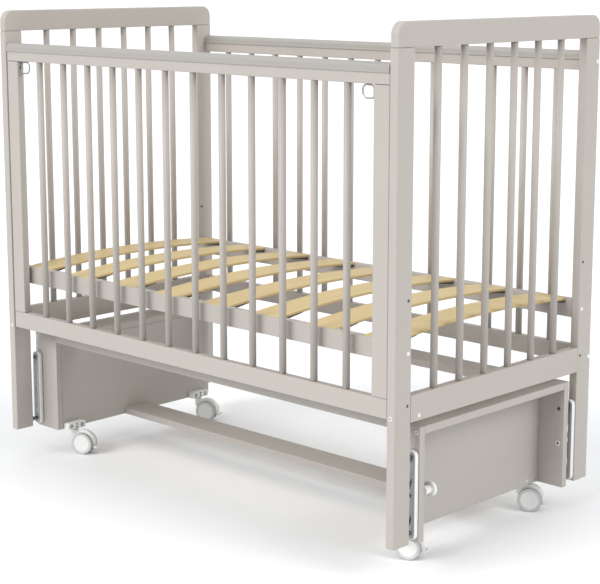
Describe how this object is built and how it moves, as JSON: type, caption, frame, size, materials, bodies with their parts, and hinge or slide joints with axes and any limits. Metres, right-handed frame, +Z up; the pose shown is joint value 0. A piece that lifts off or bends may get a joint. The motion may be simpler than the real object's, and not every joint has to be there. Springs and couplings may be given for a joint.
{
  "type": "pendulum crib",
  "caption": "Slatted-side baby crib hung on steel links that swing it lengthwise over a low castored stand, with a drop side, arched slat base and lock knob.",
  "frame": {"origin": "on the floor under the middle of the bed", "axes": "+X along the bed towards the end with the lock knob, -Y towards the drop side, +Z up"},
  "size_m": [1.242, 0.66, 1.0888],
  "materials": {
    "painted_wood": "satin greige paint",
    "birch": "clear-coated birch ply",
    "cover_plastic": "satin",
    "white_plastic": "satin moulded",
    "white_steel": "white powder coat",
    "zinc_steel": "zinc plated"
  },
  "bodies": {
    "stand": {"stand_board_front_left": "painted_wood", "stand_board_back_left": "painted_wood", "stand_board_front_right": "painted_wood", "stand_board_back_right": "painted_wood", "stand_panel_left": "painted_wood", "stand_panel_right": "painted_wood", "stand_top_left": "painted_wood", "stand_top_right": "painted_wood", "stand_rail_front": "painted_wood", "stand_rail_back": "painted_wood", "stand_stretcher": "painted_wood", "castor_socket_front_left": "white_plastic", "castor_socket_back_left": "white_plastic", "castor_socket_front_right": "white_plastic", "castor_socket_back_right": "white_plastic", "pivot_bolt_front_left": "zinc_steel", "pivot_bolt_back_left": "zinc_steel", "pivot_bolt_front_right": "zinc_steel", "pivot_bolt_back_right": "zinc_steel"},
    "link_front_left": {"link_front_left": "white_steel"},
    "link_back_left": {"link_back_left": "white_steel"},
    "link_front_right": {"link_front_right": "white_steel"},
    "link_back_right": {"link_back_right": "white_steel"},
    "crib": {"post_front_left": "painted_wood", "post_back_left": "painted_wood", "post_front_right": "painted_wood", "post_back_right": "painted_wood", "end_frame_left": "painted_wood", "end_frame_right": "painted_wood", "back_side": "painted_wood", "back_side_cap": "cover_plastic", "bed_rail_front": "painted_wood", "bed_rail_back": "painted_wood", "slat_1": "birch", "slat_2": "birch", "slat_3": "birch", "slat_4": "birch", "slat_5": "birch", "slat_6": "birch", "slat_7": "birch", "slat_8": "birch"},
    "drop_side": {"drop_side": "painted_wood", "drop_side_cap": "cover_plastic", "guide_pin_left": "zinc_steel", "guide_pin_right": "zinc_steel"},
    "latch_left": {"latch_left": "zinc_steel"},
    "latch_right": {"latch_right": "zinc_steel"},
    "lock_knob": {"lock_knob": "white_plastic"},
    "castor_front_left": {"castor_hood_front_left": "white_plastic"},
    "wheel_front_left": {"castor_wheel_front_left": "white_plastic"},
    "brake_front_left": {"castor_brake_front_left": "white_plastic"},
    "castor_back_left": {"castor_hood_back_left": "white_plastic"},
    "wheel_back_left": {"castor_wheel_back_left": "white_plastic"},
    "brake_back_left": {"castor_brake_back_left": "white_plastic"},
    "castor_front_right": {"castor_hood_front_right": "white_plastic"},
    "wheel_front_right": {"castor_wheel_front_right": "white_plastic"},
    "brake_front_right": {"castor_brake_front_right": "white_plastic"},
    "castor_back_right": {"castor_hood_back_right": "white_plastic"},
    "wheel_back_right": {"castor_wheel_back_right": "white_plastic"},
    "brake_back_right": {"castor_brake_back_right": "white_plastic"}
  },
  "joints": [
    {"name": "swing_front_right", "type": "hinge", "parent": "stand", "child": "link_front_right", "pos_m": [0.606, -0.259, 0.239], "axis": [0, 1, 0], "range_deg": [-15, 15]},
    {"name": "swing_front_left", "type": "hinge", "parent": "stand", "child": "link_front_left", "pos_m": [-0.606, -0.259, 0.239], "axis": [0, 1, 0], "range_deg": [-15, 15]},
    {"name": "swing_back_right", "type": "hinge", "parent": "stand", "child": "link_back_right", "pos_m": [0.606, 0.2765, 0.239], "axis": [0, 1, 0], "range_deg": [-15, 15]},
    {"name": "swing_back_left", "type": "hinge", "parent": "stand", "child": "link_back_left", "pos_m": [-0.606, 0.2765, 0.239], "axis": [0, 1, 0], "range_deg": [-15, 15]},
    {"name": "bed_level", "type": "hinge", "parent": "link_front_right", "child": "crib", "pos_m": [0.606, -0.259, 0.084], "axis": [0, 1, 0], "range_deg": [-15, 15]},
    {"name": "drop_side_slide", "type": "slide", "parent": "crib", "child": "drop_side", "axis": [0, 0, 1], "range_m": [-0.19, 0]},
    {"name": "latch_left_pull", "type": "slide", "parent": "drop_side", "child": "latch_left", "axis": [1, 0, 0], "range_m": [0, 0.008], "stiffness_N_per_m": 300, "springref_m": -0.004},
    {"name": "latch_right_pull", "type": "slide", "parent": "drop_side", "child": "latch_right", "axis": [-1, 0, 0], "range_m": [0, 0.008], "stiffness_N_per_m": 300, "springref_m": -0.004},
    {"name": "lock_knob_push", "type": "slide", "parent": "stand", "child": "lock_knob", "axis": [0, -1, 0], "range_m": [0, 0.012]},
    {"name": "castor_front_left_swivel", "type": "hinge", "parent": "stand", "child": "castor_front_left", "pos_m": [-0.528, -0.208, 0.055], "axis": [0, 0, 1], "continuous": true},
    {"name": "castor_front_left_roll", "type": "hinge", "parent": "castor_front_left", "child": "wheel_front_left", "pos_m": [-0.50534, -0.19743, 0.02677], "axis": [-0.4226, 0.9063, 0], "continuous": true},
    {"name": "castor_front_left_brake", "type": "hinge", "parent": "castor_front_left", "child": "brake_front_left", "pos_m": [-0.47852, -0.18493, 0.01939], "axis": [-0.4226, 0.9063, 0], "range_deg": [0, 12]},
    {"name": "castor_back_left_swivel", "type": "hinge", "parent": "stand", "child": "castor_back_left", "pos_m": [-0.528, 0.208, 0.055], "axis": [0, 0, 1], "continuous": true},
    {"name": "castor_back_left_roll", "type": "hinge", "parent": "castor_back_left", "child": "wheel_back_left", "pos_m": [-0.50534, 0.21857, 0.02677], "axis": [-0.4226, 0.9063, 0], "continuous": true},
    {"name": "castor_back_left_brake", "type": "hinge", "parent": "castor_back_left", "child": "brake_back_left", "pos_m": [-0.47852, 0.23107, 0.01939], "axis": [-0.4226, 0.9063, 0], "range_deg": [0, 12]},
    {"name": "castor_front_right_swivel", "type": "hinge", "parent": "stand", "child": "castor_front_right", "pos_m": [0.528, -0.208, 0.055], "axis": [0, 0, 1], "continuous": true},
    {"name": "castor_front_right_roll", "type": "hinge", "parent": "castor_front_right", "child": "wheel_front_right", "pos_m": [0.55066, -0.19743, 0.02677], "axis": [-0.4226, 0.9063, 0], "continuous": true},
    {"name": "castor_front_right_brake", "type": "hinge", "parent": "castor_front_right", "child": "brake_front_right", "pos_m": [0.57748, -0.18493, 0.01939], "axis": [-0.4226, 0.9063, 0], "range_deg": [0, 12]},
    {"name": "castor_back_right_swivel", "type": "hinge", "parent": "stand", "child": "castor_back_right", "pos_m": [0.528, 0.208, 0.055], "axis": [0, 0, 1], "continuous": true},
    {"name": "castor_back_right_roll", "type": "hinge", "parent": "castor_back_right", "child": "wheel_back_right", "pos_m": [0.55066, 0.21857, 0.02677], "axis": [-0.4226, 0.9063, 0], "continuous": true},
    {"name": "castor_back_right_brake", "type": "hinge", "parent": "castor_back_right", "child": "brake_back_right", "pos_m": [0.57748, 0.23107, 0.01939], "axis": [-0.4226, 0.9063, 0], "range_deg": [0, 12]}
  ],
  "couplings": [
    {"joint": "swing_front_left", "follows": "swing_front_right", "ratio": 1},
    {"joint": "swing_back_right", "follows": "swing_front_right", "ratio": 1},
    {"joint": "swing_back_left", "follows": "swing_front_right", "ratio": 1},
    {"joint": "bed_level", "follows": "swing_front_right", "ratio": -1}
  ]
}
